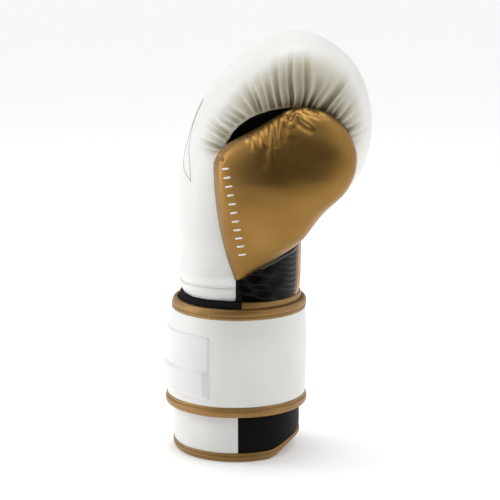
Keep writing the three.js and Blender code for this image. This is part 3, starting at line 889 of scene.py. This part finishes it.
def thumb_relief(points):
    """How far the thumb's leather stands out of its form, in millimetres."""
    slow, quick = THUMB_WAVES
    x, y, z = points[..., 0], points[..., 1], points[..., 2]
    relief = slow(points) + quick(points)
    outer_side = smoothstep(-58, -64, y)
    belly = smoothstep(160, 190, z) * smoothstep(236, 214, z) * outer_side
    relief = relief + belly * (2.0 * smoothstep(38, 66, x) - 1.5 * smoothstep(26, -12, x))
    for start, end, width, height in THUMB_CREASES:
        relief = relief + groove(points, start, end, width, height, outer_side)
    below_edge = 240 + (x - 31) * 0.32 - z
    fringe = smoothstep(9, 2, below_edge) * smoothstep(12, 24, x)
    return relief + fringe * 0.1 * np.sin(2 * np.pi * x / 3.1 + 1.5 * np.sin(x / 5))


THUMB_WAVES = (Waves(21, 60, 0.6), Waves(22, 18, 0.12))


def rounded_end(ring, onward):
    """Rings that close a form's last ring to a blunt end, going onward from it."""
    middle = ring.mean(0)
    push = onward.mean(0) / np.linalg.norm(onward.mean(0)) * 2.5
    turns = np.radians([25, 50, 72, 86])
    return np.array([middle + (ring - middle) * math.cos(turn) + push * math.sin(turn) for turn in turns])


def thumb():
    """The thumb's leather, a form with a rounded cap beyond each end."""
    t, angle = round_grid(np.linspace(0, 1, 210), 220)
    points = form(THUMB_STATIONS, t, angle)
    points = points + form_normals(THUMB_STATIONS, t, angle) * thumb_relief(points)[..., None]
    foot = rounded_end(points[0], points[0] - points[4])[::-1]
    tip = rounded_end(points[-1], points[-1] - points[-5])
    rings = np.concatenate([foot, points, tip])
    faces = tube_faces(*rings.shape[:2])
    piece = tidy(new_object("thumb_leather", rings.reshape(-1, 3), faces, GOLD))
    seat(piece, "thumb", "gold_leather", "thumb_outer_panel", "thumb_inner_panel")


def thumb_seam():
    """The piping and the welt low on the thumb's palm edge, both ends of each sinking out of sight."""
    t = np.linspace(0.0, 0.33, 100)
    walked = t / t[-1]
    sunk = smoothstep(0.85, 1, walked) + smoothstep(0.1, 0, walked)
    turned_in = smoothstep(0.17, 0.31, t)
    for name, degrees, outside, radius, material in (
        ("thumb_piping", -8, 0.7, 1.2, PIPING), ("thumb_welt", 5, 1.9, 1.05, WELT),
    ):
        angle = np.radians(degrees + (72 - degrees) * turned_in)
        normals = form_normals(THUMB_STATIONS, t, angle)
        path = form(THUMB_STATIONS, t, angle) + normals * (outside - 4 * sunk)[:, None]
        cord = tube(name, path, radius * (1 - 0.7 * np.clip(sunk, 0, 1)), material)
        seat(cord, "thumb", "gold_leather")


def on_thumb(places):
    """The outer surface of the thumb under (x, z) places seen from the side, and its normals there."""
    outer_angles = np.radians(np.linspace(-168, -15, 400))
    t, angle = np.meshgrid(np.linspace(0.05, 0.95, 500), outer_angles, indexing="ij")
    points = form(THUMB_STATIONS, t, angle)
    chosen = [np.argmin((points[..., 0] - x) ** 2 + (points[..., 2] - z) ** 2) for x, z in places]
    t, angle, points = t.ravel()[chosen], angle.ravel()[chosen], points.reshape(-1, 3)[chosen]
    normals = form_normals(THUMB_STATIONS, t, angle)
    return points + normals * thumb_relief(points)[:, None], normals


def thumb_dashes():
    """A plain row of printed bars beside the thumb's seam."""
    count, half_length, half_width, steps = 11, 2.6, 0.62, 9
    start, end = np.array([-7.9, 210.5]), np.array([5.2, 146.0])
    along = (end - start) / np.linalg.norm(end - start)
    across = np.array([-along[1], along[0]])
    places, faces = [], []
    for i in range(count):
        centre = start + (end - start) * (i + 0.5) / count
        first = len(places)
        for share in np.linspace(-1, 1, steps):
            width = half_width * math.sqrt(max(1 - share**8, 0.3))
            places += [centre + across * share * half_length + along * side * width for side in (-1, 1)]
        for corner in range(first, first + 2 * (steps - 1), 2):
            faces.append((corner, corner + 1, corner + 3, corner + 2))
    points, normals = on_thumb(places)
    piece = tidy(new_object("thumb_print", points + normals * 0.12, faces, WHITE_PRINT))
    thicken(piece, 0.2, 0)
    seat(piece, "thumb", "white_leather")


# ------------------------------------------------------------------ the cuff

def cuff():
    """White leather and black mesh round the wrist, with a stitched gold edging on the rim."""
    slack = Waves(31, 30, 0.35)
    panel = rounded_profile(4.5, WRIST_TOP, -1.6, 0.0, 0.7, 0.0, 60)
    seat(wrap("cuff_leather", panel, 88.2, 340, WHITE, slack), "hand", "white_leather", "cuff_panel")
    seat(wrap("cuff_mesh", panel, -20, 87.6, MESH, slack), "hand", "black_mesh", "cuff_mesh_panel")
    stitch_height = 4.3
    rim = binding_profile(0.0, 6.6, -8.4, 0.9, stitch_height)
    seat(wrap("cuff_edge_tape", rim, 0, 360, TAPE), "hand", "gold_binding", "cuff_binding")
    angles = np.arange(0, 361, 1.5)
    path = wrist(angles, np.full_like(angles, stitch_height), 0.7)
    outwards = wrist(angles, np.full_like(angles, stitch_height), 1.7) - path
    seat(stitches("cuff_edge_stitches", path, outwards, GOLD_THREAD), "hand", "gold_binding")


def linings():
    """The pockets inside: one through the cuff and one in the fist, closed at its end."""
    rows, columns = 90, 120
    for name, node, low, high in (
        ("cuff_pocket", "cuff_lining", 0.004, 0.26), ("hand_pocket", "hand_lining", 0.26, 1),
    ):
        t, angle = round_grid(np.linspace(low, high, rows), columns)
        points = form(CAVITY_STATIONS, t, angle, inset=-0.6)
        points[..., 2] = np.maximum(points[..., 2], 1.5)
        faces = grid_faces(rows, columns, close_columns=True)
        if high == 1:
            faces.append(tuple(range((rows - 1) * columns, rows * columns)))
        piece = tidy(new_object(name, scooped(points).reshape(-1, 3), faces, LINING))
        thicken(piece, 0.9, 1)
        seat(piece, "hand", "black_fabric", node)


LOOP_ANGLES = (88.4, 283)
UNDERLAP_ANGLES = (-25, 87.8)


def rounded_off(degrees):
    """How far the loop band's top edge comes down towards its end."""
    return 7 * smoothstep(266, LOOP_ANGLES[1], degrees)


def closure():
    """What the strap closes over: the loop band, and the underlap with its edging."""
    low = STRAP_BOTTOM + 3
    band = rounded_profile(low, WRIST_TOP + 0.6, 0.5, 2.4, 0.8, 0.0, 14)
    loops = wrap("loop_cloth", band, *LOOP_ANGLES, LOOP, lowered=rounded_off)
    seat(loops, "hand", "black_fabric", "loop_band")
    flap = rounded_profile(low, WRIST_TOP - 6.4, 0.5, 2.1, 0.6, 0.0, 14)
    seat(wrap("underlap_leather", flap, *UNDERLAP_ANGLES, WHITE), "hand", "white_leather", "underlap_flap")
    edge = rounded_profile(WRIST_TOP - 6.2, WRIST_TOP + 0.4, 0.4, 2.8, 1.0, 0.4, 6)
    seat(wrap("underlap_tape", edge, -25, 88, TAPE), "hand", "gold_binding", "underlap_binding")


# ------------------------------------------------------------------ the strap

# A length of the strap: its start and end round the wrist, the two bodies that it bends between,
# where that bend starts and ends, and the CAD spans that it stands for.
Span = namedtuple("Span", "name start end bodies bend cad_spans")
STRAP_SPANS = [
    Span("strap_1", -75, 7.5, ("hand", "strap_palm_span"), (-64, -26), ("strap_anchor",)),
    Span("strap_2", 7.5, 118, ("strap_palm_span", "strap_thumb_span"), (41, 79), ("strap_palm",)),
    Span(
        "strap_3", 118, 235, ("strap_thumb_span", "strap_free_end"), (131, 169),
        ("strap_thumb_side", "strap_end"),
    ),
]
FREE_SPAN = STRAP_SPANS[-1]
HOOK_ANGLES = (158, 233)


def seat_on_strap(piece, span, slot, *nodes):
    """Bakes a piece into place and hides the CAD nodes it stands for; the ends of its span's bend are worked
    out but not used.
    """
    bend_height, bend_outside = 70.0, 5.0
    start, end = (tuple(to_frame(wrist(np.array(a), bend_height, bend_outside))) for a in span.bend)
    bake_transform(piece)
    if nodes:
        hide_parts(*nodes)


def strap():
    """Each span's face, lining and two edge bindings, with a row of stitches on each binding."""
    slack = Waves(41, 45, 0.3)
    low, high = STRAP_BOTTOM, STRAP_TOP
    stitched_in = 5.0
    face = rounded_profile(low + stitched_in, high - stitched_in, 4.3, 5.9, 0.7, 0.9, 40)
    lining = rounded_profile(low + 4.0, high - 4.0, 3.4, 4.1, 0.25, 0.0, 30)
    bottom_tape = binding_profile(low, low + 7.6, 3.3, 6.5, low + stitched_in)
    top_tape = binding_profile(high - 7.6, high, 3.3, 6.5, high - stitched_in)
    layers = [
        ("face", face, WHITE, "white_leather"), ("lining", lining, LOOP, "black_fabric"),
        ("bottom_binding", bottom_tape, TAPE, "gold_binding"),
        ("top_binding", top_tape, TAPE, "gold_binding"),
    ]
    for span in STRAP_SPANS:
        for layer, profile, material, slot in layers:
            piece = wrap(f"{span.name}_{layer}", profile, span.start, span.end, material, slack)
            seat_on_strap(piece, span, slot, *(f"{cad_span}_{layer}" for cad_span in span.cad_spans))
        for edge, height in (("bottom", low + stitched_in), ("top", high - stitched_in)):
            angles = np.arange(span.start + 0.6, span.end, 1.0)
            heights = np.full_like(angles, height)
            path = wrist(angles, heights, 6.2)
            path = wrist(angles, heights, 6.2 + slack(path))
            outwards = wrist(angles, heights, 7.75) - path
            row = stitches(f"{span.name}_{edge}_stitches", path, outwards, GOLD_THREAD)
            seat_on_strap(row, span, "gold_binding")


def hook_tape():
    """The patch of hooks inside the strap's free end."""
    profile = rounded_profile(46, 95, 2.6, 3.3, 0.25, 0.0, 12)
    seat_on_strap(wrap("hook_patch", profile, *HOOK_ANGLES, HOOKS), FREE_SPAN, "hook_tape", "hook_tape")


def badge():
    """The plain raised patch over the back of the wrist: a thin plate with a thicker bar across its foot."""
    plate_height, bar_height, corner = 1.1, 1.6, 3.0
    angles = np.linspace(111.8, 197, 120)
    heights = np.linspace(44, 89, 70)
    degrees, z = np.meshgrid(angles, heights, indexing="ij")
    from_end = np.minimum(degrees - angles[0], angles[-1] - degrees) * 0.9
    from_edge = np.minimum(z - heights[0], heights[-1] - z)
    rounding = np.hypot(np.maximum(corner - from_end, 0), np.maximum(corner - from_edge, 0))
    in_corner = (from_end < corner) & (from_edge < corner)
    inward = np.where(in_corner, corner - rounding, np.minimum(from_end, from_edge))
    bar = smoothstep(65.0, 62.0, z) * smoothstep(44.5, 47.5, z) * smoothstep(1.0, 5.0, from_end)
    height = plate_height * smoothstep(-0.2, 1.4, inward) + bar_height * bar
    top = wrist(degrees, z, 6.3 + height)
    base = wrist(degrees, z, np.full_like(height, 5.6))
    keep = (inward >= -0.3).ravel()
    upper = [f for f in grid_faces(*degrees.shape) if all(keep[v] for v in f)]
    bm = bmesh.new()
    verts = [bm.verts.new(p) for p in np.concatenate([top.reshape(-1, 3), base.reshape(-1, 3)])]
    count = degrees.size
    for face in upper:
        bm.faces.new([verts[v] for v in face])
    rim = [e for e in bm.edges if e.is_boundary]
    for face in upper:
        bm.faces.new([verts[v + count] for v in reversed(face)])
    bm.verts.index_update()
    for edge in rim:
        a, b = edge.verts[0].index, edge.verts[1].index
        bm.faces.new([verts[a], verts[b], verts[b + count], verts[a + count]])
    bmesh.ops.delete(bm, geom=[v for v in bm.verts if not v.link_faces], context="VERTS")
    seat_on_strap(tidy(from_bmesh(bm, "badge_plate", RUBBER)), FREE_SPAN, "white_rubber", "badge_patch")


# ------------------------------------------------------------------ padding inside

# (CAD node, its body, material, slot, how full of padding it is)
PADDING = [
    ("knuckle_foam", "hand", DENSE_FOAM, "dense_foam", 1.0),
    ("fist_front_foam", "hand", DENSE_FOAM, "dense_foam", 1.0),
    ("finger_foam", "hand", SOFT_FOAM, "foam", 0.9),
    ("fingertip_foam", "hand", SOFT_FOAM, "foam", 0.9),
    ("back_of_hand_foam", "hand", SOFT_FOAM, "foam", 0.9),
    ("palm_foam", "hand", SOFT_FOAM, "foam", 0.9),
    ("cuff_foam", "hand", SOFT_FOAM, "foam", 0.9),
    ("thumb_foam", "thumb", SOFT_FOAM, "foam", 0.9),
    ("grip_bar", "hand", DENSE_FOAM, "dense_foam", 1.0),
    ("thumb_lining", "thumb", LINING, "black_fabric", 0.3),
]


def padding_name(node):
    return node.replace("foam", "padding") + "_soft"


def padding():
    """Foam blocks: each CAD solid with its edges softened, drawn in a little under the leather."""
    for node, body, material, slot, _ in PADDING:
        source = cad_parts[node]
        piece = bpy.data.objects.new(padding_name(node), source.data.copy())
        piece.matrix_world = source.matrix_world.copy()
        bpy.context.scene.collection.objects.link(piece)
        piece.data.materials.clear()
        piece.data.materials.append(material)
        bm = bmesh.new()
        bm.from_mesh(piece.data)
        bmesh.ops.remove_doubles(bm, verts=bm.verts, dist=1e-6)
        bmesh.ops.recalc_face_normals(bm, faces=bm.faces)
        drawn_in = 0.9 * MM if "foam" in node else 0.15 * MM
        bm.normal_update()
        moves = [(v, v.co - v.normal * drawn_in) for v in bm.verts]
        for vert, place in moves:
            vert.co = place
        fit_under_leather(bm, body)
        bm.to_mesh(piece.data)
        bm.free()
        piece.data.polygons.foreach_set("use_smooth", [False] * len(piece.data.polygons))
        rounding = piece.modifiers.new("rounding", "BEVEL")
        rounding.width = 0.4 * MM
        rounding.segments = 2
        rounding.angle_limit = math.radians(50)
        seat(piece, body, slot, node)


def fit_under_leather(bm, body):
    """Moves padding in behind the rolled mouth and the fist's narrow foot, and up with the cuff's rim."""
    places = (np.array([v.co for v in bm.verts]) - WRIST_MIDDLE) / MM
    _, outside, _ = mouth_polar(places)
    x, y, z = places.T
    if body == "thumb":
        places[:, 1] += 6.5 * smoothstep(175, 212, z) * smoothstep(-55, -75, y)
    else:
        narrowed = 0.22 * smoothstep(222, 190, z) * smoothstep(44, 60, x) * (z > 150)
        places[:, 1] += smoothstep(40, 0, outside) * smoothstep(-26, -40, y) * 15
        places[:, 1] *= 1 - narrowed
    for vert, place in zip(bm.verts, to_frame(scooped(places))):
        vert.co = place


# ------------------------------------------------------------------ the flat cut of each sheet of cloth or leather


def length_round(start, end, outside):
    """The length round the wrist between two angles, at the middle of the strap."""
    degrees = np.linspace(start, end, 120)
    path = wrist(degrees, np.full_like(degrees, (STRAP_BOTTOM + STRAP_TOP) / 2), outside)
    return np.linalg.norm(np.diff(path, axis=0), axis=1).sum()


def declare_soft_pieces():
    """Lists the flat cut in millimetres of every sheet of cloth or leather; the list is not used."""
    mouth_hem = 6
    mouth_width = MOUTH["to_back"] + MOUTH["to_front"] + mouth_hem
    mouth_height = MOUTH["to_crown"] + MOUTH["to_palm"] + mouth_hem
    round_pocket = length_round(0, 360, -10)
    # (name, flat width, flat height, how it is held, what it rests on)
    sheets = [
        ("mouth_cloth", mouth_width, mouth_height, "stretched", "hand_leather"),
        ("palm_mesh", 76, LIP_HEIGHT - WRIST_TOP, "gathered", "palm_leather"),
        ("cuff_pocket", round_pocket, 128, "stretched", "cuff_leather"),
        ("hand_pocket", round_pocket, 150, "stretched", "hand_leather"),
        ("loop_cloth", length_round(*LOOP_ANGLES, 1.5), 76, "laid", "cuff_leather"),
        ("underlap_leather", length_round(*UNDERLAP_ANGLES, 1.3), 69.6, "laid", "cuff_mesh"),
        ("hook_patch", length_round(*HOOK_ANGLES, 3), 49, "laid", "strap_3_lining"),
    ]
    for span in STRAP_SPANS:
        face_width = length_round(span.start, span.end, 5.5)
        lining_width = length_round(span.start, span.end, 3.8)
        sheets.append((f"{span.name}_face", face_width, 65, "laid", f"{span.name}_lining"))
        sheets.append((f"{span.name}_lining", lining_width, 67, "laid", "loop_cloth"))


# ------------------------------------------------------------------ build

hand_coverings()
marks_on_back()
mouth_cloth()
thumb()
thumb_seam()
thumb_dashes()
cuff()
linings()
closure()
strap()
hook_tape()
badge()
padding()
declare_soft_pieces()

# ------------------------------------------------------------------ stage, light and camera

def stage():
    """A wide floor that glows a little, so that it stays white under the glove."""
    size = 20.0
    corners = [(-size, -size, 0), (size, -size, 0), (size, size, 0), (-size, size, 0)]
    floor_mesh = bpy.data.meshes.new("floor")
    floor_mesh.from_pydata(corners, [], [(0, 1, 2, 3)])
    floor = bpy.data.objects.new("floor", floor_mesh)
    bpy.context.scene.collection.objects.link(floor)
    floor_mesh.materials.append(Material("floor_white").finish(
        Base_Color=(0.96, 0.96, 0.96, 1), Roughness=0.85,
        Emission_Color=(1, 1, 1, 1), Emission_Strength=0.23,
    ))


def studio():
    """A white room: nearly black on the viewer's side, brightest at the sides and half as bright behind."""
    world = bpy.data.worlds.new("studio")
    bpy.context.scene.world = world
    world.use_nodes = True
    nodes = Nodes(world.node_tree)
    axes = nodes.add("SeparateXYZ", Vector=nodes.add("TexCoord").outputs["Generated"])
    depth = axes.outputs["Y"]
    in_front = nodes.between(depth, 0.01, 1.0, start=-1.0, until=-0.15, interpolation_type="SMOOTHSTEP")
    behind = nodes.between(depth, 1.0, 0.5, start=0.1)
    strength = nodes.add("Math", operation="MULTIPLY")
    nodes.link(in_front, strength.inputs[0])
    nodes.link(behind, strength.inputs[1])
    background = world.node_tree.nodes["Background"]
    nodes.link(strength.outputs["Value"], background.inputs["Strength"])
    background.inputs["Color"].default_value = (1, 1, 1, 1)


def soft_light(name, place, target, size, power):
    data = bpy.data.lights.new(name, "AREA")
    data.shape = "RECTANGLE"
    data.size, data.size_y = size
    data.energy = power
    light = bpy.data.objects.new(name, data)
    bpy.context.scene.collection.objects.link(light)
    light.location = place
    light.rotation_euler = (Vector(target) - Vector(place)).to_track_quat("-Z", "Y").to_euler()


def camera():
    """The photograph's view: the thumb side, a little from above."""
    distance, elevation, width_of_view = 1.40, math.radians(9.5), math.radians(14.43)
    middle = Vector((0.0098, 0.0, 0.1403)) + Vector(WRIST_MIDDLE)
    data = bpy.data.cameras.new("camera")
    data.sensor_width = 36
    data.lens = data.sensor_width / 2 / math.tan(width_of_view / 2)
    view = bpy.data.objects.new("camera", data)
    bpy.context.scene.collection.objects.link(view)
    view.location = middle + Vector((0, -distance * math.cos(elevation), distance * math.sin(elevation)))
    view.rotation_euler = (middle - view.location).to_track_quat("-Z", "Y").to_euler()
    bpy.context.scene.camera = view


stage()
studio()
bpy.context.scene.view_settings.view_transform = "Standard"
soft_light("left_strip", (-1.3, 0.25, 0.6), (0, 0, 0.15), (0.5, 1.4), 4.4)
soft_light("right_strip", (1.15, 0.9, 0.6), (0, 0, 0.15), (0.5, 1.4), 0.8)
soft_light("overhead", (0.0, 0.35, 1.5), (0, 0, 0.2), (1.2, 0.8), 8)
camera()
